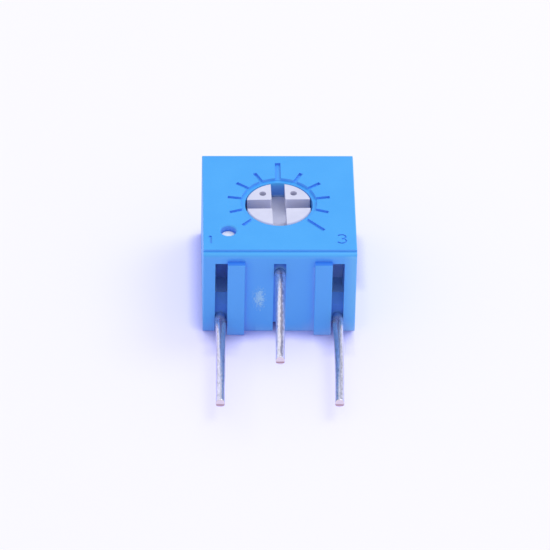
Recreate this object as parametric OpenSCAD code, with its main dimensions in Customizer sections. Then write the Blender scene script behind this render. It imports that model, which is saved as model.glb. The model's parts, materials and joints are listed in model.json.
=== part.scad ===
// Single-turn trimmer potentiometer, a quarter inch square, with its three
// terminals leaving one side. It lies on its sealed back with the dial up.
// Origin: on the dial axis, in the plane of the foot. +X runs from terminal 1
// to terminal 3, +Y away from the terminals, +Z out of the dial.

/* [Housing] */
// Side wall outside an outer slot, which sets the width
outer_wall = 0.52; // [0.5:0.02:0.9]
// Rear wall where the rotor's chamber comes nearest
rear_wall = 0.55; // [0.52:0.01:1.1]
// Terminal wall where the chamber comes nearest
terminal_wall = 0.8; // [0.76:0.01:1.2]
// Thickness of the wall behind the element
back_wall = 0.5; // [0.4:0.02:0.52]
// Thickness of the wall between the element and the terminals
front_wall = 0.56; // [0.4:0.02:0.58]
// Thickness of the roof that carries the dial
roof = 0.6; // [0.5:0.02:0.66]
// Round along the top of the terminal wall
brow_r = 0.24; // [0.1:0.02:0.3]
// Step from the dial face down to that round
brow_step = 0.1; // [0.04:0.02:0.16]
// Round on the upright corners
corner_r = 0.08; // [0.03:0.01:0.12]
// Round on the small edges
edge_r = 0.05; // [0.02:0.01:0.08]

/* [Standoffs] */
// Width of one standoff rib
standoff_w = 0.75; // [0.5:0.05:0.9]
// How far the ribs hold the body off a board
standoff_out = 0.28; // [0.2:0.02:0.5]
// Height of the ribs below the dial face
standoff_drop = 0.47; // [0.36:0.01:0.8]

/* [Terminals] */
// Diameter of the tinned wire
pin_d = 0.43; // [0.36:0.01:0.45]
// Diameter of a wire's tin coat where it leaves the body
coat_d = 0.46; // [0.44:0.01:0.47]
// Length past the standoffs over which that coat thins out
coat_run = 0.3; // [0.1:0.02:1]
// Distance from the middle terminal to each outer one
pitch = 2.54; // [2.5:0.01:2.56]
// Height of the outer terminals over the foot
pin_z = 0.7; // [0.6:0.02:0.78]
// Rise of the middle terminal over the outer ones
row_rise = 2.54; // [2.3:0.02:2.6]
// Wire length past the standoffs, outer terminals
pin_reach = 5.34; // [3:0.1:8]
// Extra length of the middle terminal
mid_extra = 0.18; // [0:0.02:0.5]
// Centre line radius of the middle terminal's bends
bend_r = 0.35; // [0.3:0.01:0.4]
// Slope of the two faces of the pinched cut, in degrees
cut_angle = 26; // [10:2:40]

/* [Terminal slots] */
// Width of each slot in the terminal wall
slot_w = 0.53; // [0.5:0.01:0.6]
// How far the outer slots sit inboard of their wires
slot_inset = 0.025; // [0:0.005:0.04]

/* [Dial] */
// Diameter of the hole for the rotor
bore_d = 2.95; // [2.9:0.01:3.1]
// Diameter of the shallow ring around the hole
ring_d = 3.31; // [3.2:0.01:3.4]
// Depth of that ring
ring_depth = 0.12; // [0.06:0.01:0.18]
// Number of tick marks
tick_count = 11; // [5:2:15]
// Depth of the tick marks
tick_depth = 0.1; // [0.05:0.01:0.16]
// Width of a tick mark
tick_w = 0.17; // [0.1:0.01:0.22]
// Width of the middle tick mark
mid_tick_w = 0.24; // [0.14:0.01:0.3]
// Dial axis to the end of a short tick
tick_r = 2.24; // [2:0.02:2.4]
// Dial axis to the end of a long tick
long_tick_r = 2.71; // [2.5:0.02:2.9]
// Full mechanical travel in degrees
travel = 270; // [240:5:280]

/* [Vent] */
// Diameter of the vent hole
vent_d = 0.68; // [0.5:0.02:0.76]
// Vent hole to the left of the dial axis
vent_x = 2.21; // [2.2:0.01:2.4]
// Vent hole in front of the dial axis
vent_y = 1.93; // [1.9:0.01:2.2]
// Dial face to the top of the plug
plug_drop = 0.29; // [0.2:0.01:0.36]

/* [Rotor] */
// Radial clearance of the rotor in its hole
rotor_gap = 0.035; // [0.02:0.005:0.06]
// Dial face to the top of the rotor
rotor_drop = 0.1; // [0.04:0.01:0.16]
// Width across the two flats of the rotor's head
flats_w = 2.73; // [2.6:0.01:2.8]
// Width of the cross slots
driver_w = 0.6; // [0.45:0.01:0.66]
// Depth of the cross slots
driver_depth = 0.76; // [0.5:0.02:0.8]
// Round on the inner corners of the cross
driver_r = 0.07; // [0.03:0.01:0.1]
// Diameter of the two blind dimples
dimple_d = 0.3; // [0.2:0.01:0.34]
// Dimples to either side of the axis
dimple_x = 0.67; // [0.62:0.01:0.7]
// Dimples behind the axis
dimple_y = 0.72; // [0.68:0.01:0.74]
// Depth of the dimples
dimple_depth = 0.3; // [0.1:0.02:0.5]
// How far the rotor stands turned from mid travel, in degrees
rest_turn = 1.2; // [-3:0.1:3]
// Radius of the rotor's flange
flange_r = 2.58; // [2.5:0.01:2.6]
// Thickness of the flange
flange_t = 0.5; // [0.4:0.02:0.56]
// Half width of the stop lug in degrees
lug_half = 24.5; // [15:0.5:26]

/* [Seal] */
// Thickness of the O-ring
oring_t = 0.32; // [0.24:0.01:0.34]
// Thickness of the collar that the O-ring seals in
collar_t = 0.38; // [0.3:0.01:0.42]
// How far the collar hangs below the roof
collar_drop = 0.88; // [0.8:0.02:0.96]

/* [Element] */
// Thickness of the ceramic plate
plate_t = 0.6; // [0.5:0.02:0.7]
// Thickness of the printed films
film_t = 0.05; // [0.04:0.01:0.06]
// Mean radius of the resistive track
track_r = 2; // [1.9:0.02:2.1]
// Width of the resistive track
track_w = 0.5; // [0.4:0.02:0.6]
// Mean radius of the collector ring
collector_r = 0.78; // [0.7:0.01:0.9]
// Width of the collector ring
collector_w = 0.44; // [0.3:0.02:0.5]

/* [Wiper] */
// Film to the rotor's flange, which sets the height of the body
wiper_room = 0.685; // [0.6:0.005:1.2]
// Thickness of the wiper's spring sheet
spring_t = 0.08; // [0.06:0.01:0.1]
// Width of one finger
finger_w = 0.2; // [0.14:0.01:0.24]
// Distance between the outer fingers
finger_pitch = 0.28; // [0.26:0.01:0.32]

/* [Hidden] */

$fn = 96;
over = 0.2;                               // how far a cut runs past a face
fit_gap = 0.04;                           // gap between neighbouring fixed pieces
run_gap = 0.04;                           // axial running gap of the rotor
flange_gap = 0.1;                         // radial clearance of the rotor's flange
film_gap = 0.02;                          // gap between a wiper contact and its film

// Outer faces, kept outside the terminals' slots and the rotor's chamber
pin_r = pin_d / 2;
slot_x = pitch - slot_inset;              // middle of an outer slot
slot_inner_x = slot_x - slot_w / 2;
slot_outer_x = slot_x + slot_w / 2;
chamber_r = flange_r + flange_gap;
side_wall = 0.3;                          // least wall beside the chamber
half_w = max(slot_outer_x + outer_wall, chamber_r + side_wall);
body_w = 2 * half_w;
body_back = chamber_r + rear_wall;        // dial axis to the rear face
body_front = chamber_r + terminal_wall;   // dial axis to the terminal wall's face
face_front = body_front - brow_r;         // front end of the dial face
board_y = -(body_front + standoff_out);   // plane of a board on the standoffs
slot_end_y = -vent_y;                     // the vent opens into an outer slot

// Levels over the foot, from the foot up
pot_z = 0.1;                              // sealed back, inside the housing's rim
solder_t = 0.06;                          // solder over and under a wire
plate_z = pin_z + pin_r + solder_t + film_t;  // underside of the ceramic plate
shelf_z = plate_z + plate_t;              // top of the plate, on the housing's shelf
film_z = shelf_z + film_t;                // top of the printed films
flange_z = film_z + wiper_room;           // underside of the rotor's flange
flange_top = flange_z + flange_t;
collar_z = flange_top + run_gap;          // lower end of the collar
chamber_z = collar_z + collar_drop;       // ceiling of the rotor chamber
body_h = chamber_z + roof;                // dial face
mid_z = pin_z + row_rise;                 // middle terminal outside the body

// Levels from the dial face down
rotor_top = body_h - rotor_drop;
driver_z = rotor_top - driver_depth;      // floor of the cross slots
standoff_z = body_h - standoff_drop;      // top of the standoffs

// Radii about the dial axis
bore_r = bore_d / 2;
head_r = bore_r - rotor_gap;
collar_r = bore_r + collar_t;
seal_gap = 0.015;                         // gap between the O-ring and its bore
ring_play = 0.02;                         // the O-ring's room along its groove
groove_r = bore_r - seal_gap - oring_t;   // bottom of that groove
groove_h = oring_t + ring_play;
oring_z = (collar_z + driver_z - ring_play) / 2;
stop_r = collar_r + flange_gap;           // inner reach of the stop lug and post
stop_play = 0.5;                          // degrees between lug and post at a limit
half_turn = 180;
post_half = half_turn - travel / 2 - lug_half - stop_play;
spigot_r = 0.38;                          // staked post that holds the wiper
stake_r = 0.56;
base_rim = 0.3;                           // wiper's base outside the collector ring

// Cavity for the ceramic plate, open at the back
cavity_x = slot_outer_x + film_gap;
cavity_back = body_back - back_wall;
cavity_front = body_front - front_wall;
plate_x = cavity_x - fit_gap;
plate_back = cavity_back - fit_gap;
plate_front = cavity_front - film_t - fit_gap / 2;

// Films and solder
film_via_r = 0.14;                        // filled hole through the plate
end_in_x = 1.5;                           // inner side of an end film's wrap
wrap_margin = 0.06;                       // from that wrap to the slot's inner side
end_out_x = slot_inner_x - wrap_margin;   // outer side of that wrap
wrap_y = -plate_front - film_t;           // outer face of the wrap
end_back_y = -1.5;                        // rear end of the pad under the plate
solder_out = cavity_x - pitch;            // room outside an outer wire

// Resin in the slots
mid_skin = 0.06;                          // its face behind the wall, middle slot
outer_skin = 0.16;                        // its face behind the wall, outer slots
creep = 0.12;                             // its climb over a wire or the plate

// Middle terminal: its upright run stands in the middle slot
riser_skin = 0.1;                         // depth of that run behind the wall's face
riser_y = -(body_front - riser_skin - pin_r);
tip_y = board_y - pin_reach;
coat_end_y = board_y - coat_run;
coat_rise = 0.06;                         // length over which the coat starts
mid_tip_y = tip_y - mid_extra;

module housing() {
    color("dodgerblue")
        difference() {
            union() {
                difference() {
                    shell();
                    cavity();
                    rotor_chamber();
                    for (side = [0, 1])
                        mirror([side, 0, 0])
                            film_relief();
                }
                collar();
                stop_post();
            }
            terminal_slots();
            dial();
            vent();
        }
}

// Outer block with its stepped and rounded brow, and the two standoffs
module shell() {
    difference() {
        translate([-half_w, -body_front, 0])
            cube([body_w, body_front + body_back, body_h]);
        translate([-half_w - over, -body_front - over, body_h - brow_step])
            cube([body_w + 2 * over, brow_r + over, brow_step + over]);
        trim_x(-body_front, body_h - brow_step, 90, brow_r, body_w + 2 * over);
        trim_x(-body_front, 0, 180, edge_r, body_w + 2 * over);
        trim_x(body_back, body_h, 0, edge_r, body_w + 2 * over);
        for (side = [0, 1])
            mirror([side, 0, 0]) {
                trim_z(half_w, body_back, 0);
                trim_z(half_w, -body_front, 270);
                trim_y(half_w, body_h, edge_r, 3 * body_w);
            }
    }
    for (side = [0, 1])
        mirror([side, 0, 0])
            standoff();
}

// One rib beside an outer slot, rounded towards the board
module standoff() {
    difference() {
        translate([slot_inner_x - standoff_w, board_y, 0])
            cube([standoff_w, standoff_out + 2 * edge_r, standoff_z]);
        trim_x(board_y, standoff_z, 90, edge_r, body_w);
        trim_x(board_y, 0, 180, edge_r, body_w);
        translate([slot_inner_x, board_y, body_h / 2])
            rotate([0, 0, 270])
                edge_trim(body_h, edge_r);
        translate([slot_inner_x - standoff_w, board_y, body_h / 2])
            rotate([0, 0, 180])
                edge_trim(body_h, edge_r);
    }
}

// Bar that trims an edge along Z at the origin to a round; the body fills -X, -Y
module edge_trim(len, r) {
    linear_extrude(height = len, center = true)
        difference() {
            translate([-r, -r])
                square(r + over);
            translate([-r, -r])
                circle(r = r);
        }
}

// Trims the edge along X at (y, z); turn 90 is a front top edge, 180 a front foot
module trim_x(y, z, turn, r, len) {
    translate([0, y, z])
        rotate([90, 0, 90])
            rotate([0, 0, turn])
                edge_trim(len, r);
}

// Trims the upper edge along Y at (x, z)
module trim_y(x, z, r, len) {
    translate([x, 0, z])
        rotate([90, 0, 0])
            edge_trim(len, r);
}

// Trims an upright corner at (x, y)
module trim_z(x, y, turn) {
    translate([x, y, body_h / 2])
        rotate([0, 0, turn])
            edge_trim(body_h + 2 * over, corner_r);
}

// Square well at the back that takes the ceramic plate up to its shelf
module cavity() {
    translate([-cavity_x, -cavity_front, -over])
        cube([2 * cavity_x, cavity_front + cavity_back, shelf_z + over]);
}

module rotor_chamber() {
    translate([0, 0, shelf_z - over])
        cylinder(r = chamber_r, h = chamber_z - shelf_z + over);
}

// Recess in the shelf over an end film
module film_relief() {
    translate([end_in_x - track_w, -cavity_front - film_gap, shelf_z])
        cube([slot_x - end_in_x + track_w, cavity_front - track_r + track_w,
              film_t + film_gap]);
}

// Tube under the roof that guides the rotor and backs the O-ring
module collar() {
    translate([0, 0, collar_z])
        cylinder(r = collar_r, h = chamber_z - collar_z + roof / 2);
}

// Sector that the rotor's lug meets at both ends of its travel
module stop_post() {
    sector(270, post_half, stop_r, chamber_r + over / 2,
           flange_top + 2 * run_gap, chamber_z + roof / 2);
}

// Ring sector about the dial axis, centred on the angle mid
module sector(mid, half, r0, r1, z0, z1) {
    rotate([0, 0, mid - half])
        rotate_extrude(angle = 2 * half)
            translate([r0, z0])
                square([r1 - r0, z1 - z0]);
}

// Slots that let the three terminals out, open at the foot
module terminal_slots() {
    for (side = [-1, 1])
        translate([side * slot_x - slot_w / 2, -body_front - over, -over])
            cube([slot_w, body_front + over + slot_end_y, chamber_z + over]);
    translate([-slot_w / 2, -body_front - over, -over])
        cube([slot_w, body_front - chamber_r + 1.5 * over, chamber_z + over]);
}

// Hole for the rotor, the ring around it and the engraved tick marks
module dial() {
    translate([0, 0, collar_z - over])
        cylinder(r = bore_r, h = body_h);
    translate([0, 0, body_h - ring_depth])
        cylinder(d = ring_d, h = ring_depth + over);
    tick_step = travel / (tick_count - 1);
    for (i = [0 : tick_count - 1]) {
        middle = i == (tick_count - 1) / 2;
        tick(90 + travel / 2 - i * tick_step,
             middle ? mid_tick_w : tick_w,
             middle || i == tick_count - 1 ? long_tick_r : tick_r);
    }
}

module tick(angle, w, r1) {
    rotate([0, 0, angle])
        translate([bore_r, -w / 2, body_h - tick_depth])
            cube([r1 - bore_r, w, tick_depth + over]);
}

// Vent from the dial face down into the channel of terminal 1
module vent() {
    translate([-vent_x, -vent_y, chamber_z - over])
        cylinder(d = vent_d, h = roof + 2 * over);
    translate([-vent_x, -vent_y, body_h - edge_r])
        cylinder(r1 = vent_d / 2, r2 = vent_d / 2 + edge_r + over, h = edge_r + over);
}

module vent_plug() {
    color("white")
        translate([-vent_x, -vent_y, chamber_z - over / 2])
            cylinder(d = vent_d, h = roof - plug_drop + over / 2);
}

// Head, O-ring groove, flange and staked spigot are one moulding
module rotor() {
    color("lavender")
        rotate([0, 0, rest_turn])
            difference() {
                union() {
                    rotor_body();
                    sector(90, lug_half, stop_r, flange_r - edge_r, flange_top - over / 2,
                           (flange_top + chamber_z) / 2);
                }
                head_cuts();
            }
}

module rotor_body() {
    groove_z = oring_z - groove_h / 2;
    rotate_extrude()
        polygon([
            [0, rotor_top],
            [head_r - edge_r, rotor_top],
            [head_r, rotor_top - edge_r],
            [head_r, groove_z + groove_h],
            [groove_r, groove_z + groove_h],
            [groove_r, groove_z],
            [head_r, groove_z],
            [head_r, flange_top],
            [flange_r, flange_top],
            [flange_r, flange_z],
            [spigot_r, flange_z],
            [spigot_r, flange_z - spring_t],
            [stake_r, flange_z - spring_t],
            [stake_r - edge_r, flange_z - 2 * spring_t],
            [0, flange_z - 2 * spring_t]
        ]);
}

// Cross for the screwdriver, the two flats and the two dimples
module head_cuts() {
    ledge_z = oring_z + groove_h / 2 + edge_r;
    for (turn = [0, 90])
        rotate([0, 0, turn])
            translate([-bore_r, -driver_w / 2, driver_z])
                cube([bore_d, driver_w, driver_depth + over]);
    for (turn = [0 : 90 : 270])
        rotate([0, 0, turn])
            translate([driver_w / 2, driver_w / 2, driver_z + driver_depth / 2 + over / 2])
                rotate([0, 0, 180])
                    edge_trim(driver_depth + over, driver_r);
    for (side = [0, 180])
        rotate([0, 0, side])
            translate([flats_w / 2, -bore_r, ledge_z])
                cube([over, bore_d, body_h]);
    for (side = [-1, 1])
        translate([side * dimple_x, dimple_y, rotor_top - dimple_depth])
            cylinder(d = dimple_d, h = dimple_depth + over);
}

module o_ring() {
    color("firebrick")
        rotate([0, 0, rest_turn])
            rotate_extrude()
                translate([groove_r + oring_t / 2, oring_z])
                    circle(d = oring_t);
}

// Sprung contact under the flange: three fingers on the track, one on the ring
module wiper() {
    base_r = collector_r + collector_w / 2 + base_rim;
    color("goldenrod")
        rotate([0, 0, rest_turn]) {
            translate([0, 0, flange_z - spring_t])
                difference() {
                    cylinder(r = base_r, h = spring_t);
                    translate([0, 0, -over])
                        cylinder(r = spigot_r, h = spring_t + 2 * over);
                }
            for (i = [-1 : 1])
                translate([i * finger_pitch, 0, 0])
                    finger(base_r - base_rim, track_r, 1);
            finger(base_r - edge_r, collector_r, -1);
        }
}

// Strip that leaves the base at radius r0 and touches its film at radius r1
module finger(r0, r1, side) {
    tip = 1.5 * spring_t;
    rest_z = film_z + film_gap + tip;
    top_z = flange_z - spring_t / 2;
    slope = atan2(rest_z - top_z, r1 - r0);
    run = norm([r1 - r0, rest_z - top_z]);
    rotate([90, 0, 90])
        linear_extrude(height = finger_w, center = true)
            mirror([side < 0 ? 1 : 0, 0]) {
                translate([r0, top_z])
                    rotate(slope)
                        translate([0, -spring_t / 2])
                            square([run, spring_t]);
                translate([r0, top_z])
                    circle(d = spring_t);
                translate([r1, rest_z])
                    circle(r = tip);
            }
}

module ceramic_plate() {
    color("whitesmoke")
        difference() {
            translate([-plate_x, -plate_front, plate_z])
                cube([2 * plate_x, plate_front + plate_back, plate_t]);
            translate([0, -collector_r, plate_z - over])
                cylinder(r = film_via_r, h = plate_t + 2 * over);
        }
}

module resistive_track() {
    color("dimgray")
        sector(90, travel / 2, track_r - track_w / 2, track_r + track_w / 2,
               shelf_z, film_z);
}

// Silver film from the end of the track, over the plate's edge, to its terminal
module end_film(side) {
    angle = 90 - travel / 2;
    r0 = track_r - track_w / 2;
    r1 = track_r + track_w / 2;
    color("silver")
        mirror([side < 0 ? 1 : 0, 0, 0]) {
            translate([0, 0, shelf_z])
                linear_extrude(height = film_t)
                    polygon([
                        r0 * [cos(angle), sin(angle)],
                        r1 * [cos(angle), sin(angle)],
                        [end_out_x, -track_r],
                        [end_out_x, -plate_front],
                        [end_out_x, wrap_y],
                        [end_in_x, wrap_y],
                        [end_in_x, -plate_front],
                        [end_in_x - track_w, -track_r]
                    ]);
            translate([end_in_x, wrap_y, plate_z - film_t])
                cube([end_out_x - end_in_x, film_t, plate_t + 2 * film_t]);
            translate([end_in_x, wrap_y, plate_z - film_t])
                cube([end_out_x - end_in_x, end_back_y - wrap_y, film_t]);
            translate([end_in_x, -plate_front, plate_z - film_t])
                cube([plate_x - end_in_x, plate_front + end_back_y, film_t]);
        }
}

// Ring under the wiper, joined through the plate to the strip over terminal 2
module collector_film() {
    color("silver") {
        difference() {
            translate([0, 0, shelf_z])
                cylinder(r = collector_r + collector_w / 2, h = film_t);
            translate([0, 0, shelf_z - over])
                cylinder(r = collector_r - collector_w / 2, h = film_t + 2 * over);
        }
        translate([0, -collector_r, plate_z - film_t])
            cylinder(r = film_via_r, h = plate_t + 1.5 * film_t);
        translate([-2 * film_via_r, -cavity_front + 2 * pin_d, plate_z - film_t])
            cube([4 * film_via_r, cavity_front - 2 * pin_d - collector_r + 2 * film_via_r, film_t]);
    }
}

// Straight wire along Y from its inner end to a pinched cut at the tip. Its tin
// coat starts at coat_y and thins out past the standoffs.
module straight_wire(y0, coat_y, y1) {
    difference() {
        rotate([90, 0, 0])
            rotate_extrude()
                polygon([
                    [0, -y0],
                    [pin_r, -y0],
                    [pin_r, -coat_y],
                    [coat_d / 2, -coat_y + coat_rise],
                    [pin_r, -coat_end_y],
                    [pin_r, -y1],
                    [0, -y1]
                ]);
        for (side = [-1, 1])
            translate([0, y1, 0])
                rotate([-side * cut_angle, 0, 0])
                    translate([-pin_d, -over - pin_d, side < 0 ? -pin_d : 0])
                        cube([2 * pin_d, over + pin_d, pin_d]);
    }
}

module outer_terminal(side) {
    color("lightgray")
        translate([side * pitch, 0, pin_z])
            straight_wire(end_back_y - pin_d, -body_front + outer_skin + coat_rise, tip_y);
}

// Bent wire: under the plate, up the middle slot, and out
module middle_terminal() {
    color("lightgray") {
        translate([0, riser_y + bend_r, pin_z])
            rotate([270, 0, 0])
                cylinder(r = pin_r, h = -riser_y - bend_r - collector_r + film_via_r);
        translate([0, riser_y + bend_r, pin_z + bend_r])
            rotate([0, 90, 0])
                wire_bend(-90);
        translate([0, riser_y, pin_z + bend_r])
            cylinder(r = pin_r, h = row_rise - 2 * bend_r);
        translate([0, riser_y - bend_r, mid_z - bend_r])
            rotate([0, 90, 0])
                wire_bend(90);
        translate([0, 0, mid_z])
            straight_wire(riser_y - bend_r, riser_y - bend_r - coat_rise, mid_tip_y);
    }
}

// Quarter turn of wire about Z, from the angle start
module wire_bend(start) {
    rotate([0, 0, start])
        rotate_extrude(angle = 90)
            translate([bend_r, 0])
                circle(r = pin_r);
}

// Fillet of solder between a wire, its child, and the film over it
module solder(x, y0, y1, out) {
    mid = -solder_t - pin_r;
    color("gray")
        difference() {
            translate([x, y0, plate_z - film_t])
                rotate([90, 0, 0])
                    linear_extrude(height = y0 - y1)
                        polygon([
                            [-pin_d, 0],
                            [out, 0],
                            [out, mid],
                            [pin_r - solder_t, 2 * mid],
                            [-pin_r + solder_t, 2 * mid],
                            [-pin_r - solder_t, mid]
                        ]);
            children();
        }
}

// Resin that closes the back and climbs into the slots around the wires
module potting() {
    color("royalblue")
        difference() {
            union() {
                translate([-cavity_x, -cavity_front, pot_z])
                    cube([2 * cavity_x, cavity_front + cavity_back, plate_z - pot_z]);
                for (side = [-1, 1])
                    slot_fill(side * slot_x, [
                        [slot_end_y, pot_z],
                        [slot_end_y, shelf_z + creep],
                        [-plate_front - creep / 2, shelf_z + creep],
                        [-body_front + 2 * outer_skin, plate_z + 2 * creep],
                        [-body_front + outer_skin + creep / 2, pin_z + pin_r],
                        [-body_front + outer_skin, pin_z],
                        [-body_front + outer_skin + creep, pin_z - pin_r - creep],
                        [-cavity_front, pot_z + creep / 2],
                        [-plate_front, pot_z]
                    ]);
                slot_fill(0, [
                    [-chamber_r - creep / 2, pot_z],
                    [-chamber_r - creep / 2, mid_z + pin_r + creep / 2],
                    [riser_y, mid_z + pin_r + creep],
                    [-body_front + mid_skin + creep, mid_z + pin_r],
                    [-body_front + mid_skin, mid_z],
                    [-body_front + mid_skin, pin_z - pin_r],
                    [-cavity_front, pin_z - pin_r - creep],
                    [-plate_front, pot_z]
                ]);
            }
            plate_room();
            end_film(-1);
            end_film(1);
            collector_film();
            outer_terminal(-1);
            outer_terminal(1);
            middle_terminal();
            solder_1();
            solder_2();
            solder_3();
        }
}

// Resin inside one slot, from its outline in Y and Z
module slot_fill(x, outline) {
    translate([x, 0, 0])
        rotate([90, 0, 90])
            linear_extrude(height = slot_w, center = true)
                polygon(outline);
}

// Room of the ceramic plate, from side wall to side wall
module plate_room() {
    translate([-cavity_x, -plate_front, plate_z])
        cube([2 * cavity_x, plate_front + cavity_back, plate_t]);
}

module terminal_1() { outer_terminal(-1); }
module terminal_2() { middle_terminal(); }
module terminal_3() { outer_terminal(1); }
module end_film_1() { end_film(-1); }
module end_film_3() { end_film(1); }

module solder_1() {
    mirror([1, 0, 0])
        solder_3();
}

module solder_2() {
    solder(0, -collector_r - pin_d, -collector_r - 3 * pin_d, pin_d)
        middle_terminal();
}

module solder_3() {
    solder(pitch, end_back_y - 1.5 * pin_d, end_back_y - 3 * pin_d, solder_out)
        outer_terminal(1);
}

housing();
rotor();
o_ring();
wiper();
ceramic_plate();
resistive_track();
end_film_1();
end_film_3();
collector_film();
terminal_1();
terminal_2();
terminal_3();
solder_1();
solder_2();
solder_3();
potting();
vent_plug();
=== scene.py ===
import bmesh
import bpy
import json
import math
import random
from mathutils import Matrix, Vector

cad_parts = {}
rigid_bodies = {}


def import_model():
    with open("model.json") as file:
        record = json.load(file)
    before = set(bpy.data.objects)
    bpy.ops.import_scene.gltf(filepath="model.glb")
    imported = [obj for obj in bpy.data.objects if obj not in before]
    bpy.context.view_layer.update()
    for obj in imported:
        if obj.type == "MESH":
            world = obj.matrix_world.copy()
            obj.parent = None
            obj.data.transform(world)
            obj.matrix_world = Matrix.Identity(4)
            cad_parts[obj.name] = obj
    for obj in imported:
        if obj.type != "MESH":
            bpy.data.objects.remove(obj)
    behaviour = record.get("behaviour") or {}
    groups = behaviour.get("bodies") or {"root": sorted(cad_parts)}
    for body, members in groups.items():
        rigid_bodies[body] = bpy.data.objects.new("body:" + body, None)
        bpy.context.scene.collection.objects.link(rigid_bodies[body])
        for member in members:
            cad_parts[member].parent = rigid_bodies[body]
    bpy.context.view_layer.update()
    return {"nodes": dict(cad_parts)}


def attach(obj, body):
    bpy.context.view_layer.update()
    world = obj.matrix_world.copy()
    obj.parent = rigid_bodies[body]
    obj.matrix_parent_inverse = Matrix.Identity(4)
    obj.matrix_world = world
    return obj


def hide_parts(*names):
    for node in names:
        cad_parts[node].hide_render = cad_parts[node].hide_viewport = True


mm = 0.001                                # the frame is in metres, the sizes below in mm

for old in list(bpy.data.objects):
    bpy.data.objects.remove(old)

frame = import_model()
nodes = frame["nodes"]
print("frame loaded:", len(nodes), "nodes")

# Levels and planes of the body that the looks below share
body = {
    "top": 4.38,                          # dial face over the foot
    "wallY": -3.48,                       # terminal wall
    "pitch": 2.54,                        # middle wire to an outer one
    "lowWireZ": 0.7,
    "highWireZ": 3.24,
}


# Camera, from a fit to the photo's edges
camera = {
    "place": (-6.8314, -197.8542, 164.8093),
    "across": (0.999657, -0.019621, 0.01733),     # picture's right
    "upward": (-0.000779, 0.639413, 0.768863),    # picture's top
    "lens": 385.06,
    "sensor": 36,
}


def addObject(name, data):
    made = bpy.data.objects.new(name, data)
    bpy.context.scene.collection.objects.link(made)
    return made


def makeCamera(spec):
    lensData = bpy.data.cameras.new("photoCamera")
    lensData.lens = spec["lens"]
    lensData.sensor_width = spec["sensor"]
    lensData.clip_start = 0.01
    lensData.clip_end = 10
    photoCamera = addObject("photoCamera", lensData)
    right = Vector(spec["across"]).normalized()
    up = Vector(spec["upward"])
    up = (up - up.dot(right) * right).normalized()
    turned = Matrix((right, up, right.cross(up))).transposed().to_4x4()
    photoCamera.matrix_world = Matrix.Translation(Vector(spec["place"]) * mm) @ turned
    bpy.context.scene.camera = photoCamera


makeCamera(camera)
print("camera placed")


# Small helpers for shader trees
def newMaterial(name):
    material = bpy.data.materials.new(name)
    material.use_nodes = True
    material.node_tree.nodes.clear()
    return material, material.node_tree


def put(tree, kind, **settings):
    made = tree.nodes.new(kind)
    for key, value in settings.items():
        setattr(made, key, value)
    return made


def feed(tree, socket, value):
    if isinstance(value, bpy.types.NodeSocket):
        tree.links.new(value, socket)
    elif isinstance(value, tuple):
        socket.default_value = (*value, 1)
    else:
        socket.default_value = value


def principled(tree, metallic=0.0, roughness=0.5, specular=0.5, coat=0.0, coatRoughness=0.1):
    shader = put(tree, "ShaderNodeBsdfPrincipled")
    shader.inputs["Metallic"].default_value = metallic
    shader.inputs["Roughness"].default_value = roughness
    shader.inputs["Specular IOR Level"].default_value = specular
    shader.inputs["Coat Weight"].default_value = coat
    shader.inputs["Coat Roughness"].default_value = coatRoughness
    surface = put(tree, "ShaderNodeOutputMaterial")
    tree.links.new(shader.outputs[0], surface.inputs["Surface"])
    return shader


def placeInMm(tree, shift=(0, 0, 0)):
    coords = put(tree, "ShaderNodeTexCoord")
    scaled = put(tree, "ShaderNodeMapping")
    scaled.inputs["Scale"].default_value = (1 / mm, 1 / mm, 1 / mm)
    scaled.inputs["Location"].default_value = shift
    tree.links.new(coords.outputs["Object"], scaled.inputs["Vector"])
    return scaled.outputs[0]


def noise(tree, where, scale, detail=4, roughness=0.55, stretch=None):
    if stretch:
        squeezed = put(tree, "ShaderNodeMapping")
        squeezed.inputs["Scale"].default_value = stretch
        tree.links.new(where, squeezed.inputs["Vector"])
        where = squeezed.outputs[0]
    made = put(tree, "ShaderNodeTexNoise")
    made.inputs["Scale"].default_value = scale
    made.inputs["Detail"].default_value = detail
    made.inputs["Roughness"].default_value = roughness
    tree.links.new(where, made.inputs["Vector"])
    return made.outputs["Fac"]


def ramp(tree, fac, *stops):
    # each stop is (position, grey or colour)
    made = put(tree, "ShaderNodeValToRGB")
    elements = made.color_ramp.elements
    while len(elements) < len(stops):
        elements.new(0.5)
    for element, (position, colour) in zip(elements, stops):
        element.position = position
        element.color = (*colour, 1) if isinstance(colour, tuple) else (colour, colour, colour, 1)
    tree.links.new(fac, made.inputs["Fac"])
    return made.outputs["Color"]


def blend(tree, fac, first, second, kind="MIX"):
    made = put(tree, "ShaderNodeMix", data_type="RGBA", blend_type=kind)
    feed(tree, made.inputs["Factor"], fac)
    feed(tree, made.inputs["A"], first)
    feed(tree, made.inputs["B"], second)
    return made.outputs["Result"]


def calc(tree, operation, *values, clamp=False):
    made = put(tree, "ShaderNodeMath", operation=operation, use_clamp=clamp)
    for socket, value in zip(made.inputs, values):
        feed(tree, socket, value)
    return made.outputs[0]


def split(tree, where):
    made = put(tree, "ShaderNodeSeparateXYZ")
    tree.links.new(where, made.inputs[0])
    return made.outputs["X"], made.outputs["Y"], made.outputs["Z"]


def bump(tree, height, depth, shader, strength=1.0):
    made = put(tree, "ShaderNodeBump")
    made.inputs["Strength"].default_value = strength
    made.inputs["Distance"].default_value = depth * mm
    tree.links.new(height, made.inputs["Height"])
    tree.links.new(made.outputs["Normal"], shader.inputs["Normal"])


def openness(tree, reach):
    # 1 on open faces, less in corners and grooves
    made = put(tree, "ShaderNodeAmbientOcclusion", samples=8)
    made.inputs["Distance"].default_value = reach * mm
    return made.outputs["AO"]


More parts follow.
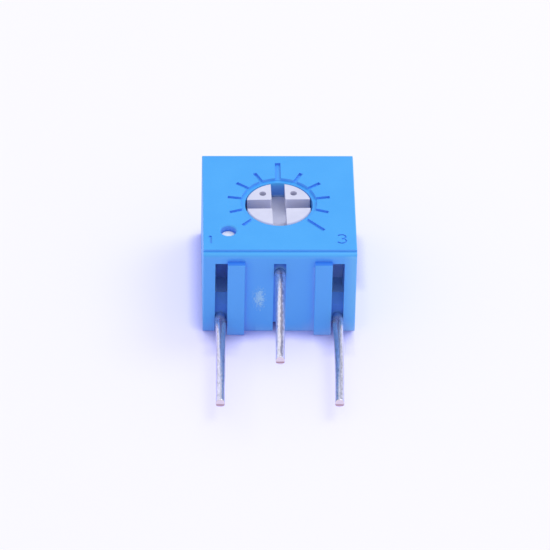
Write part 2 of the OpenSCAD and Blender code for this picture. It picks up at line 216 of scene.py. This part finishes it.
def distanceTo(tree, where, axis, point):
    # distance in mm from the line through point along axis
    parts = split(tree, where)
    squares = []
    for index, part in enumerate(parts):
        if index != "XYZ".index(axis):
            offset = calc(tree, "SUBTRACT", part, point[index])
            squares.append(calc(tree, "MULTIPLY", offset, offset))
    return calc(tree, "SQRT", calc(tree, "ADD", *squares))


def dress(thing, material):
    thing.data.materials.clear()
    thing.data.materials.append(material)


def weldSeams(thing):
    # the frame's meshes come split along their sharp edges
    weld = thing.modifiers.new("weld", "WELD")
    weld.merge_threshold = 0.0004 * mm


def softenEdges(thing, width, segments=2):
    bevel = thing.modifiers.new("softEdges", "BEVEL")
    bevel.width = width * mm
    bevel.segments = segments
    bevel.limit_method = "ANGLE"
    bevel.angle_limit = math.radians(28)


# Housing: satin blue moulding, with a digit beside each outer terminal
moulding = {
    "blue": (0.055, 0.41, 0.97),
    "clouded": (0.045, 0.385, 0.95),
    "sides": (0.105, 0.43, 1.0),          # upright walls, painted paler to stand in for the light they catch
    "shaded": (0.12, 0.32, 0.92),         # painted shade down in grooves and slots
    "brow": (0.085, 0.47, 1.0),           # painted highlight on slopes that catch the light from above
    "inner": (0.22, 0.40, 0.90),          # painted shade inside the outer slots, where only blue light comes
    # the same painted shade in lighter tones for the right slot and the middle one
    "innerRight": (0.42, 0.62, 1.0),
    "innerMiddle": (0.34, 0.60, 1.0),
    # painted shadow of the brow on the rib tops
    "ribTopShadow": (0.037, 0.23, 0.88),
    "rightStripLit": (0.15, 0.52, 1.0),      # terminal wall outside the right slot, painted lighter where light from the right falls
    "chalky": (0.42, 0.74, 1.0),
    "grain": 0.004,
    "edge": 0.012,
    "scuff": (-0.87, 1.85),               # x and z of the scuff on the terminal wall
    "scuffSize": (0.36, 0.75),
    "digitDepth": 0.05,
    "digitStroke": 0.075,
}


def blueMoulding(spec):
    material, tree = newMaterial("blueMoulding")
    shader = principled(tree, roughness=0.42, specular=0.4)
    where = placeInMm(tree)
    cloud = ramp(tree, noise(tree, where, 0.55), (0.35, 0.0), (0.7, 1.0))
    colour = blend(tree, cloud, spec["blue"], spec["clouded"])
    facing = put(tree, "ShaderNodeNewGeometry")
    level = calc(tree, "ABSOLUTE", split(tree, facing.outputs["True Normal"])[2])
    # painted light: upright walls get the paler tone
    colour = blend(tree, ramp(tree, level, (0.3, 1.0), (0.95, 0.0)), colour, spec["sides"])
    # painted highlight on slopes
    slopeHighlight = ramp(tree, level, (0.5, 0.0), (0.8, 1.0), (0.96, 1.0), (0.99, 0.0))
    # painted shade where the faces are closed in
    paintedShade = ramp(tree, openness(tree, 0.9), (0.1, 1.0), (0.74, 0.0))
    colour = blend(tree, paintedShade, colour, spec["shaded"])
    colour = blend(tree, slopeHighlight, colour, spec["brow"])
    x, y, z = split(tree, where)
    # painted highlight round the top of the bore, and painted light on its right wall
    inBore = calc(tree, "LESS_THAN", distanceTo(tree, where, "Z", (0, 0, 0)), 1.48)
    boreTopHighlight = ramp(tree, calc(tree, "DIVIDE", z, body["top"]), (0.93, 0.0), (0.96, 1.0))
    colour = blend(tree, calc(tree, "MULTIPLY", inBore, boreTopHighlight), colour, spec["brow"])
    boreRightLit = calc(tree, "MULTIPLY", inBore, calc(tree, "GREATER_THAN", x, 0.8))
    colour = blend(tree, boreRightLit, colour, spec["sides"])
    # painted shadow of the brow on the rib tops
    inFront = calc(tree, "LESS_THAN", y, body["wallY"] + 0.01)
    onRibTop = calc(tree, "MULTIPLY", inFront, calc(tree, "GREATER_THAN", level, 0.8))
    onRibTop = calc(tree, "MULTIPLY", onRibTop, calc(tree, "LESS_THAN", z, body["top"] - 0.4))
    colour = blend(tree, onRibTop, colour, spec["ribTopShadow"])
    # painted light on the terminal wall outside the right slot
    onStrip = calc(tree, "MULTIPLY", ramp(tree, calc(tree, "DIVIDE", x, 3.3), (0.82, 0.0), (0.95, 1.0)),
                   calc(tree, "LESS_THAN", y, body["wallY"] + 0.05))
    onStrip = calc(tree, "MULTIPLY", onStrip, calc(tree, "LESS_THAN", level, 0.5))
    colour = blend(tree, onStrip, colour, spec["rightStripLit"])
    # painted shade in the slots, a tone for each slot
    below = calc(tree, "LESS_THAN", z, 3.6)
    middle = calc(tree, "LESS_THAN", calc(tree, "ABSOLUTE", x), 1.0)
    right = calc(tree, "GREATER_THAN", x, 1.0)
    inner = blend(tree, right, spec["inner"], spec["innerRight"])
    inner = blend(tree, middle, inner, spec["innerMiddle"])
    colour = blend(tree, calc(tree, "MULTIPLY", below, paintedShade), colour, inner)
    dx = calc(tree, "DIVIDE", calc(tree, "SUBTRACT", x, spec["scuff"][0]), spec["scuffSize"][0])
    dz = calc(tree, "DIVIDE", calc(tree, "SUBTRACT", z, spec["scuff"][1]), spec["scuffSize"][1])
    away = calc(tree, "SQRT", calc(tree, "ADD", calc(tree, "MULTIPLY", dx, dx), calc(tree, "MULTIPLY", dz, dz)))
    near = calc(tree, "SUBTRACT", 1.0, away, clamp=True)
    onWall = calc(tree, "LESS_THAN", y, body["wallY"] + 0.05)
    grains = calc(tree, "ADD", noise(tree, where, 15, 4, 0.75), calc(tree, "MULTIPLY", near, 0.27))
    specks = ramp(tree, grains, (0.60, 0.0), (0.70, 1.0))
    scuff = calc(tree, "MULTIPLY", calc(tree, "MULTIPLY", specks, onWall), calc(tree, "GREATER_THAN", near, 0.02))
    colour = blend(tree, calc(tree, "MULTIPLY", scuff, 0.8), colour, spec["chalky"])
    feed(tree, shader.inputs["Base Color"], colour)
    rough = calc(tree, "ADD", calc(tree, "MULTIPLY", noise(tree, where, 6), 0.16), 0.34)
    feed(tree, shader.inputs["Roughness"], calc(tree, "ADD", rough, calc(tree, "MULTIPLY", scuff, 0.2)))
    height = calc(tree, "ADD", noise(tree, where, 14, 6, 0.65), calc(tree, "MULTIPLY", scuff, 1.5))
    bump(tree, height, spec["grain"], shader, 0.7)
    return material


def facedOutward(name, verts, faces):
    mesh = bpy.data.meshes.new(name)
    mesh.from_pydata(verts, [], faces)
    shell = bmesh.new()
    shell.from_mesh(mesh)
    bmesh.ops.recalc_face_normals(shell, faces=shell.faces)
    shell.to_mesh(mesh)
    shell.free()
    return mesh


def strokeCutter(name, path, width, depth):
    # closed bar that follows path on the dial face and reaches depth into it
    count = len(path)
    verts = []
    for index, point in enumerate(path):
        before = Vector(path[max(index - 1, 0)])
        after = Vector(path[min(index + 1, count - 1)])
        along = (after - before).normalized()
        aside = Vector((-along.y, along.x)) * width / 2
        for side in (-1, 1):
            for z in (body["top"] - depth, body["top"] + depth):
                verts.append(((point[0] + side * aside.x) * mm, (point[1] + side * aside.y) * mm, z * mm))
    faces = [(0, 1, 3, 2)]
    for ring in range(count - 1):
        a, b = 4 * ring, 4 * ring + 4
        for first, second in ((0, 1), (1, 3), (3, 2), (2, 0)):
            faces.append((a + first, b + first, b + second, a + second))
    end = 4 * (count - 1)
    faces.append((end, end + 2, end + 3, end + 1))
    cutter = addObject(name, facedOutward(name, verts, faces))
    cutter.hide_render = True
    cutter.display_type = "WIRE"
    return cutter


def arcPoints(centre, radii, start, end, steps):
    points = []
    for step in range(steps + 1):
        angle = math.radians(start + (end - start) * step / steps)
        points.append((centre[0] + radii[0] * math.cos(angle), centre[1] + radii[1] * math.sin(angle)))
    return points


def engraveDigits(thing, spec):
    strokes = {
        "digitOneStem": [(-2.97, -2.31), (-2.97, -2.80)],
        "digitOneFlag": [(-3.06, -2.40), (-2.975, -2.31)],
        "digitThreeUpper": arcPoints((2.66, -2.36), (0.17, 0.14), 155, -90, 12),
        "digitThreeLower": arcPoints((2.66, -2.64), (0.19, 0.15), 90, -155, 12),
    }
    for index, (name, path) in enumerate(strokes.items()):
        # each a hair less deep than the one before, so that no two floors meet
        cutter = strokeCutter(name, path, spec["digitStroke"], spec["digitDepth"] - 0.001 * index)
        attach(cutter, "body")
        cut = thing.modifiers.new(name, "BOOLEAN")
        cut.operation = "DIFFERENCE"
        cut.solver = "EXACT"
        cut.object = cutter


housing = nodes["housing"]
dress(housing, blueMoulding(moulding))
weldSeams(housing)
softenEdges(housing, moulding["edge"])
engraveDigits(housing, moulding)
print("housing dressed")


# Rotor: off-white moulding that shows in the dial
nylon = {
    "white": (0.70, 0.72, 0.925),
    "grubby": (0.64, 0.66, 0.86),
    "shaded": (0.56, 0.57, 0.73),         # painted shade down in the cross and the dimples
    "edge": 0.015,
}


def whiteMoulding(spec):
    material, tree = newMaterial("whiteMoulding")
    shader = principled(tree, roughness=0.38, specular=0.45)
    where = placeInMm(tree)
    cloud = ramp(tree, noise(tree, where, 1.6, 5, 0.6), (0.42, 0.0), (0.78, 1.0))
    colour = blend(tree, cloud, spec["white"], spec["grubby"])
    # painted shade where the faces are closed in
    paintedShade = ramp(tree, openness(tree, 0.9), (0.35, 1.0), (0.85, 0.0))
    feed(tree, shader.inputs["Base Color"], blend(tree, paintedShade, colour, spec["shaded"]))
    bump(tree, noise(tree, where, 9, 5, 0.6), 0.003, shader, 0.5)
    return material


rotor = nodes["rotor"]
dress(rotor, whiteMoulding(nylon))
weldSeams(rotor)
softenEdges(rotor, nylon["edge"])
print("rotor dressed")


# Resin in the slots and over the back, with painted shade and light in the outer slots and a bluish tint round each
# wire
resin = {
    "blue": (0.10, 0.28, 0.88),
    "deep": (0.07, 0.22, 0.76),
    "slot": (0.10, 0.31, 0.72),           # painted shade on the front of what shows in the outer slots
    "ledge": (0.33, 0.58, 0.84),          # its top, painted lighter to make up for the little light that comes there
    "wireTint": (0.11, 0.29, 0.52),
    "middleWireTint": (0.20, 0.46, 0.76),
    "wireTintReach": 0.40,
}


def blueResin(spec):
    material, tree = newMaterial("blueResin")
    shader = principled(tree, roughness=0.5, specular=0.2)
    where = placeInMm(tree)
    cloud = ramp(tree, noise(tree, where, 1.2, 5, 0.6), (0.35, 0.0), (0.7, 1.0))
    colour = blend(tree, cloud, spec["blue"], spec["deep"])
    x, y, z = split(tree, where)
    outer = calc(tree, "GREATER_THAN", calc(tree, "ABSOLUTE", x), 1.0)
    # painted shade and light high in the outer slots, by how each face points
    high = ramp(tree, calc(tree, "DIVIDE", z, 2.0), (0.45, 0.0), (0.80, 1.0))
    facing = put(tree, "ShaderNodeNewGeometry")
    level = ramp(tree, split(tree, facing.outputs["True Normal"])[2], (0.5, 0.0), (0.9, 1.0))
    inSlot = blend(tree, level, spec["slot"], spec["ledge"])
    colour = blend(tree, calc(tree, "MULTIPLY", high, outer), colour, inSlot)
    # a tint round each wire, greyer by the outer ones and paler by the middle one
    wireTints = (
        (-body["pitch"], body["lowWireZ"], spec["wireTint"]),
        (body["pitch"], body["lowWireZ"], spec["wireTint"]),
        (0, body["highWireZ"], spec["middleWireTint"]),
    )
    for wireX, wireZ, shade in wireTints:
        away = distanceTo(tree, where, "Y", (wireX, 0, wireZ))
        wobble = calc(tree, "ADD", away, calc(tree, "MULTIPLY", noise(tree, where, 5), 0.12))
        tintMask = ramp(tree, wobble, (0.24, 0.8), (spec["wireTintReach"], 0.0))
        colour = blend(tree, tintMask, colour, shade)
    feed(tree, shader.inputs["Base Color"], colour)
    bump(tree, noise(tree, where, 2.2, 4, 0.5), 0.02, shader, 0.4)
    return material


potting = nodes["potting"]
dress(potting, blueResin(resin))
print("potting dressed")


# Plug of pale resin in the vent, painted dark blue round its rim for the shade of the hole's wall
plug = {"pale": (0.98, 0.98, 0.99), "rimShade": (0.07, 0.24, 0.68), "at": (-2.21, -1.93), "radius": 0.34}


def paleResin(spec):
    material, tree = newMaterial("paleResin")
    shader = principled(tree, roughness=0.3, specular=0.5)
    where = placeInMm(tree)
    away = distanceTo(tree, where, "Z", (*spec["at"], 0))
    # painted shade round the rim of the plug
    rim = ramp(tree, calc(tree, "DIVIDE", away, spec["radius"]), (0.80, 0.0), (0.92, 1.0))
    colour = blend(tree, rim, spec["pale"], spec["rimShade"])
    feed(tree, shader.inputs["Base Color"], colour)
    bump(tree, noise(tree, where, 6), 0.006, shader, 0.6)
    return material


dress(nodes["vent_plug"], paleResin(plug))
print("vent plug dressed")


# Wires: tinned copper, each a loft along its route with a pinched cut at the tip
wires = {
    "sides": 28,
    "tipSlope": 14,                       # slope of the two faces of the cut, in degrees
    "ridgeDrop": 0.06,                    # how far under the middle those faces meet
    "bend": 0.35,
    "exitRadius": 0.238,
    "middleRadius": 0.215,
    "tipRadius": 0.194,
    "lump": 0.006,
    "copper": (0.80, 0.70, 0.74),
    "copperDark": (0.44, 0.27, 0.28),
    "wetBlue": (0.14, 0.30, 0.62),        # skin of resin where a wire leaves the slot
}

# The colours of each wire run across it, from its left flank to its right one: partly the tin's own grey, mostly
# painted reflections and highlights
wireRoutes = {
    "terminal_1": {
        "piece": "outerWireLeft", "x": -2.54, "seed": 3, "lean": -0.07, "bow": 0.01, "raggedness": 0.7,
        "corners": [(-1.93, 0.7), (-9.10, 0.7)],
        "across": [
            (0.00, (0.56, 0.55, 0.72)), (0.20, (0.62, 0.61, 0.77)), (0.27, (0.78, 0.78, 0.95)),
            (0.44, (0.76, 0.77, 0.95)), (0.54, (0.60, 0.62, 0.74)), (0.68, (0.55, 0.57, 0.66)),
            (0.84, (0.57, 0.58, 0.66)), (1.00, (0.64, 0.64, 0.72)),
        ],
    },
    "terminal_2": {
        "piece": "middleWire", "x": 0.0, "seed": 11, "lean": -0.105, "bow": 0.0, "raggedness": 0.85,
        "corners": [(-0.64, 0.7), (-3.165, 0.7), (-3.165, 3.24), (-9.28, 3.24)],
        "across": [
            (0.00, (0.45, 0.48, 0.72)), (0.20, (0.55, 0.58, 0.80)), (0.28, (0.80, 0.82, 0.95)),
            (0.48, (0.78, 0.78, 0.90)), (0.56, (0.30, 0.30, 0.42)), (0.68, (0.24, 0.25, 0.40)),
            (0.76, (0.50, 0.52, 0.74)), (1.00, (0.62, 0.64, 0.84)),
        ],
    },
    "terminal_3": {
        "piece": "outerWireRight", "x": 2.54, "seed": 7, "lean": -0.07, "bow": 0.025, "raggedness": 0.6,
        "corners": [(-1.93, 0.7), (-9.10, 0.7)],
        "across": [
            (0.00, (0.54, 0.54, 0.60)), (0.20, (0.52, 0.54, 0.62)), (0.36, (0.58, 0.62, 0.74)),
            (0.50, (0.66, 0.69, 0.82)), (0.60, (0.40, 0.41, 0.52)), (0.72, (0.54, 0.55, 0.66)),
            (0.84, (0.66, 0.67, 0.83)), (1.00, (0.68, 0.70, 0.86)),
        ],
    },
}


def routePoints(corners, bend):
    # (y, z, direction angle) along the route, with each inner corner rounded
    stations = []

    def straight(a, b, angle, step=0.06):
        count = max(2, round(math.dist(a, b) / step))
        for index in range(count):
            t = index / count
            stations.append((a[0] + (b[0] - a[0]) * t, a[1] + (b[1] - a[1]) * t, angle))

    here = corners[0]
    for index in range(1, len(corners)):
        corner = corners[index]
        angle = math.atan2(corner[1] - here[1], corner[0] - here[0])
        if index == len(corners) - 1:
            straight(here, corner, angle)
            stations.append((*corner, angle))
            break
        after = corners[index + 1]
        nextAngle = math.atan2(after[1] - corner[1], after[0] - corner[0])
        turn = (nextAngle - angle + math.pi) % (2 * math.pi) - math.pi
        into = (corner[0] - bend * math.cos(angle), corner[1] - bend * math.sin(angle))
        straight(here, into, angle)
        side = 1 if turn > 0 else -1
        centre = (into[0] - side * bend * math.sin(angle), into[1] + side * bend * math.cos(angle))
        for step in range(8):
            swept = angle + turn * step / 8
            stations.append((centre[0] + side * bend * math.sin(swept), centre[1] - side * bend * math.cos(swept), swept))
        here = (corner[0] + bend * math.cos(nextAngle), corner[1] + bend * math.sin(nextAngle))
    return stations


def smooth(t):
    t = min(max(t, 0.0), 1.0)
    return t * t * (3 - 2 * t)


def wireMesh(route, spec):
    draw = random.Random(route["seed"])
    waves = [(draw.uniform(1.5, 5.0), draw.uniform(0, 6.28), draw.randint(0, 3)) for _ in range(6)]
    tipY = route["corners"][-1][0]
    outside = tipY - body["wallY"]
    sides = spec["sides"]
    verts = []
    faces = []
    slope = math.tan(math.radians(spec["tipSlope"]))

    def ring(y, z, angle, squeeze=1.0, capped=False):
        out = smooth((y - body["wallY"]) / (outside * 0.22)) if angle > 3 or angle < -3 else 0
        reach = smooth((y - body["wallY"]) / outside)
        radius = spec["exitRadius"] + (spec["middleRadius"] - spec["exitRadius"]) * out
        radius += (spec["tipRadius"] - spec["middleRadius"]) * reach
        if y > body["wallY"]:
            radius = 0.215 + (spec["exitRadius"] - 0.215) * smooth((-3.2 - y) / 0.2)
        travel = max(0.0, (y - body["wallY"]) / outside) if y < body["wallY"] else 0.0
        lean = route["lean"] * travel ** 1.4 + route["bow"] * math.sin(math.pi * travel)
        for index in range(sides):
            turn = 2 * math.pi * index / sides
            lump = sum(math.sin(k * (y + z) + p + m * turn) for k, p, m in waves) / len(waves)
            r = (radius + spec["lump"] * lump * (1 if y < -3.4 else 0)) * squeeze
            across, up = r * math.cos(turn), r * math.sin(turn)
            # up is measured square to the direction of travel
            dy, dz = math.sin(angle) * up, -math.cos(angle) * up
            pinch = slope * abs(up + spec["ridgeDrop"]) if capped else 0
            verts.append(((route["x"] + lean + across) * mm, (y + dy + pinch) * mm, (z + dz) * mm))

    stations = routePoints(route["corners"], spec["bend"])
    # the shaft stops where the cut starts
    shaft = [s for s in stations if s[0] > tipY + slope * (spec["tipRadius"] + spec["ridgeDrop"]) + 0.02]
    for y, z, angle in shaft:
        ring(y, z, angle)
    for index in range(len(shaft) - 1):
        for k in range(sides):
            a, b = index * sides + k, index * sides + (k + 1) % sides
            faces.append((a, b, b + sides, a + sides))
    faces.append(tuple(reversed(range(sides))))
    shaftFaces = len(faces)
    y, z, angle = stations[-1]
    for squeeze in (1.0, 0.97, 0.75, 0.5, 0.25, 0.05):
        ring(y + (0.004 if squeeze == 1.0 else 0), z, angle, squeeze, True)
    first = (len(shaft) - 1) * sides
    last = len(verts) - sides
    for start in range(first, last, sides):
        for k in range(sides):
            a, b = start + k, start + (k + 1) % sides
            faces.append((a, b, b + sides, a + sides))
    faces.append(tuple(range(last, last + sides)))
    mesh = bpy.data.meshes.new(route["piece"])
    mesh.from_pydata(verts, [], faces)
    mesh.update()
    mesh.validate()
    for polygon in mesh.polygons:
        polygon.use_smooth = True
        cutFace = polygon.index >= shaftFaces + sides
        polygon.material_index = 1 if cutFace else 0
    return mesh


def tinnedWire(route, spec):
    material, tree = newMaterial("tinned" + route["piece"][0].upper() + route["piece"][1:])
    shader = principled(tree, metallic=0.8, roughness=0.2)
    where = placeInMm(tree)
    x, y, z = split(tree, where)
    tipY = route["corners"][-1][0]
    travel = calc(tree, "DIVIDE", calc(tree, "SUBTRACT", body["wallY"], y), body["wallY"] - tipY, clamp=True)
    middle = calc(tree, "MULTIPLY", calc(tree, "POWER", travel, 1.4), route["lean"])
    swing = calc(tree, "MULTIPLY", calc(tree, "SINE", calc(tree, "MULTIPLY", travel, math.pi)), route["bow"])
    middle = calc(tree, "ADD", calc(tree, "ADD", middle, swing), route["x"])
    aside = calc(tree, "DIVIDE", calc(tree, "SUBTRACT", x, middle), spec["middleRadius"])   # -1 to 1 over the wire
    moved = put(tree, "ShaderNodeMapping")
    moved.inputs["Location"].default_value = (route["seed"] * 1.7, 0, 0)
    tree.links.new(where, moved.inputs["Vector"])
    grain = noise(tree, moved.outputs[0], 10, 5, 0.7, stretch=(1.2, 0.5, 1.2))
    blot = noise(tree, moved.outputs[0], 2.6, 4, 0.6, stretch=(1.8, 0.5, 1.8))
    # painted reflections and highlights across the wire, with ragged edges
    ragged = calc(tree, "ADD", aside, calc(tree, "MULTIPLY", calc(tree, "SUBTRACT", grain, 0.5), route["raggedness"]))
    ragged = calc(tree, "ADD", ragged, calc(tree, "MULTIPLY", calc(tree, "SUBTRACT", blot, 0.5), 0.7))
    place = calc(tree, "ADD", calc(tree, "MULTIPLY", ragged, 0.5), 0.5, clamp=True)
    colour = ramp(tree, place, *route["across"])
    mottle = ramp(tree, grain, (0.34, 0.68), (0.46, 0.98), (0.56, 1.0), (0.66, 1.2))
    colour = blend(tree, 1.0, colour, mottle, "MULTIPLY")
    root = ramp(tree, calc(tree, "ADD", travel, calc(tree, "MULTIPLY", grain, 0.03)), (0.015, 1.0), (0.07, 0.0))
    colour = blend(tree, root, colour, spec["wetBlue"])
    feed(tree, shader.inputs["Base Color"], colour)
    feed(tree, shader.inputs["Metallic"], calc(tree, "SUBTRACT", 0.8, calc(tree, "MULTIPLY", root, 0.7)))
    feed(tree, shader.inputs["Roughness"], calc(tree, "ADD", calc(tree, "MULTIPLY", blot, 0.22), 0.10))
    bump(tree, calc(tree, "ADD", grain, blot), 0.012, shader, 0.8)
    return material


def cutCopper(spec, level):
    material, tree = newMaterial("cutCopper")
    shader = principled(tree, metallic=0.6, roughness=0.4)
    where = placeInMm(tree)
    x, y, z = split(tree, where)
    below = calc(tree, "ABSOLUTE", calc(tree, "SUBTRACT", z, level - spec["ridgeDrop"]))
    ridge = ramp(tree, calc(tree, "ADD", below, calc(tree, "MULTIPLY", noise(tree, where, 9), 0.03)), (0.03, 1.0), (0.085, 0.0))
    feed(tree, shader.inputs["Base Color"], blend(tree, ridge, spec["copper"], spec["copperDark"]))
    bump(tree, noise(tree, where, 12, stretch=(0.3, 1, 1)), 0.01, shader, 0.6)
    return material


for node, route in wireRoutes.items():
    wire = addObject(route["piece"], wireMesh(route, wires))
    wire.data.materials.append(tinnedWire(route, wires))
    wire.data.materials.append(cutCopper(wires, route["corners"][-1][1]))
    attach(wire, "body")
    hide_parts(node)
print("wires made")


# What only shows from behind or with the dial open
hidden = {
    "ceramic_plate": ("firedCeramic", (0.80, 0.79, 0.76), 0.5, 0.0),
    "resistive_track": ("cermetTrack", (0.025, 0.024, 0.026), 0.55, 0.0),
    "end_film_1": ("silverFilmLeft", (0.62, 0.61, 0.60), 0.4, 0.85),
    "end_film_3": ("silverFilmRight", (0.62, 0.61, 0.60), 0.4, 0.85),
    "collector_film": ("silverFilmMiddle", (0.62, 0.61, 0.60), 0.4, 0.85),
    "o_ring": ("redRubber", (0.42, 0.05, 0.03), 0.55, 0.0),
    "wiper": ("springMetal", (0.78, 0.60, 0.36), 0.3, 1.0),
    "solder_1": ("solderLeft", (0.66, 0.66, 0.68), 0.28, 1.0),
    "solder_2": ("solderMiddle", (0.66, 0.66, 0.68), 0.28, 1.0),
    "solder_3": ("solderRight", (0.66, 0.66, 0.68), 0.28, 1.0),
}


def workedSurface(name, colour, roughness, metallic):
    material, tree = newMaterial(name)
    shader = principled(tree, metallic=metallic, roughness=roughness)
    where = placeInMm(tree)
    worn = ramp(tree, noise(tree, where, 3, 5, 0.6), (0.35, 0.0), (0.75, 1.0))
    feed(tree, shader.inputs["Base Color"], blend(tree, worn, colour, tuple(0.8 * part for part in colour)))
    bump(tree, noise(tree, where, 12), 0.004, shader, 0.5)
    return material


for node, finish in hidden.items():
    dress(nodes[node], workedSurface(*finish))
print("inner parts dressed")


# Studio: pale floor with painted light and shadow round the body, soft sky and one broad lamp from behind on the
# right
studio = {
    "floor": (0.86, 0.81, 0.97),
    "floorShow": (0.545, 0.56, 0.95),      # what the camera sees of the floor's own shading
    "floorLift": (0.425, 0.40, 0.48),      # and the glow it sees added on the open floor: painted light, which leaves a painted shadow round the body
    "openReach": 1.05,
    "liftLeft": 0.17,
    "liftRight": 0.9,
    "footMiddle": (0.0, -0.125),          # middle and half sizes of the body's foot
    "footHalf": (3.3, 3.355),
    "backdrop": (0.965, 0.955, 1.0),
    "skyStrength": 0.82,
    "skyLow": (0.88, 0.82, 0.98),
    "skyHigh": (1.05, 1.07, 1.05),
    "skyTowards": (0.2, 0.5, 0.85),
    "lampTowards": (0.65, 0.40, 1.0),
    "lampDistance": 350,
    "lampSize": 190,
    "lampPower": 0.28,
}


def seenDirectly(tree):
    # 1 for what the camera sees itself, in a gloss or through glass
    rays = put(tree, "ShaderNodeLightPath")
    gloss = calc(tree, "MAXIMUM", rays.outputs["Is Glossy Ray"], rays.outputs["Is Transmission Ray"])
    return calc(tree, "MAXIMUM", rays.outputs["Is Camera Ray"], gloss)


def makeFloor(spec):
    side = 2.0
    mesh = bpy.data.meshes.new("studioFloor")
    mesh.from_pydata([(-side, -side, 0), (side, -side, 0), (side, side, 0), (-side, side, 0)], [], [(0, 1, 2, 3)])
    floor = addObject("studioFloor", mesh)
    floor.location.z = -0.01 * mm
    material, tree = newMaterial("paleFloor")
    plain = put(tree, "ShaderNodeBsdfDiffuse")
    feed(tree, plain.inputs["Color"], spec["floor"])
    shown = put(tree, "ShaderNodeBsdfDiffuse")
    feed(tree, shown.inputs["Color"], spec["floorShow"])
    lift = put(tree, "ShaderNodeEmission")
    # the lift is painted light, full in the open and fading close to the body into a painted shadow
    x, y, z = split(tree, placeInMm(tree))
    squares = []
    for part, middle, half in zip((x, y), spec["footMiddle"], spec["footHalf"]):
        beyond = calc(tree, "SUBTRACT", calc(tree, "ABSOLUTE", calc(tree, "SUBTRACT", part, middle)), half)
        beyond = calc(tree, "MAXIMUM", beyond, 0.0)
        squares.append(calc(tree, "MULTIPLY", beyond, beyond))
    away = calc(tree, "SQRT", calc(tree, "ADD", *squares))
    far = ramp(tree, calc(tree, "DIVIDE", away, 2.0), (0.45, 0.0), (0.9, 1.0))
    near = ramp(tree, openness(tree, spec["openReach"]), (0.52, 0.0), (0.88, 1.0))
    clear = calc(tree, "MAXIMUM", far, near)
    # painted light: light from the right reaches in along that side, and a little goes round the left
    across = calc(tree, "DIVIDE", x, spec["footHalf"][0])
    onRight = ramp(tree, across, (0.94, 0.0), (1.0, 1.0))
    ahead = ramp(tree, calc(tree, "DIVIDE", y, body["wallY"]), (0.0, 0.35), (0.25, 1.0))
    onRight = calc(tree, "MULTIPLY", calc(tree, "MULTIPLY", onRight, ahead), spec["liftRight"])
    onLeft = ramp(tree, calc(tree, "MULTIPLY", across, -1.0), (0.94, 0.0), (1.0, 1.0))
    onLeft = calc(tree, "MULTIPLY", onLeft, spec["liftLeft"])
    clear = calc(tree, "MAXIMUM", clear, calc(tree, "MAXIMUM", onRight, onLeft))
    feed(tree, lift.inputs["Color"], blend(tree, clear, (0.0, 0.0, 0.0), spec["floorLift"]))
    lifted = put(tree, "ShaderNodeAddShader")
    tree.links.new(shown.outputs[0], lifted.inputs[0])
    tree.links.new(lift.outputs[0], lifted.inputs[1])
    choice = put(tree, "ShaderNodeMixShader")
    feed(tree, choice.inputs[0], seenDirectly(tree))
    tree.links.new(plain.outputs[0], choice.inputs[1])
    tree.links.new(lifted.outputs[0], choice.inputs[2])
    surface = put(tree, "ShaderNodeOutputMaterial")
    tree.links.new(choice.outputs[0], surface.inputs["Surface"])
    mesh.materials.append(material)


def makeSky(spec):
    world = bpy.data.worlds.new("studioSky")
    bpy.context.scene.world = world
    world.use_nodes = True
    tree = world.node_tree
    tree.nodes.clear()
    coords = put(tree, "ShaderNodeTexCoord")
    lean = put(tree, "ShaderNodeVectorMath", operation="DOT_PRODUCT")
    tree.links.new(coords.outputs["Generated"], lean.inputs[0])
    lean.inputs[1].default_value = Vector(spec["skyTowards"]).normalized()
    amount = calc(tree, "ADD", calc(tree, "MULTIPLY", lean.outputs["Value"], 0.5), 0.5, clamp=True)
    sky = put(tree, "ShaderNodeBackground")
    feed(tree, sky.inputs["Color"], blend(tree, amount, spec["skyLow"], spec["skyHigh"]))
    sky.inputs["Strength"].default_value = spec["skyStrength"]
    back = put(tree, "ShaderNodeBackground")
    feed(tree, back.inputs["Color"], spec["backdrop"])
    choice = put(tree, "ShaderNodeMixShader")
    feed(tree, choice.inputs[0], seenDirectly(tree))
    tree.links.new(sky.outputs[0], choice.inputs[1])
    tree.links.new(back.outputs[0], choice.inputs[2])
    surface = put(tree, "ShaderNodeOutputWorld")
    tree.links.new(choice.outputs[0], surface.inputs["Surface"])


def makeLamp(spec):
    lampData = bpy.data.lights.new("broadLamp", "AREA")
    lampData.shape = "DISK"
    lampData.size = spec["lampSize"] * mm
    lampData.energy = spec["lampPower"]
    lampData.specular_factor = 0.3
    lamp = addObject("broadLamp", lampData)
    lamp.location = Vector(spec["lampTowards"]).normalized() * spec["lampDistance"] * mm
    lamp.rotation_mode = "QUATERNION"
    lamp.rotation_quaternion = lamp.location.to_track_quat("Z", "Y")


makeFloor(studio)
makeSky(studio)
makeLamp(studio)
bpy.context.scene.view_settings.view_transform = "Standard"
print("studio lit")
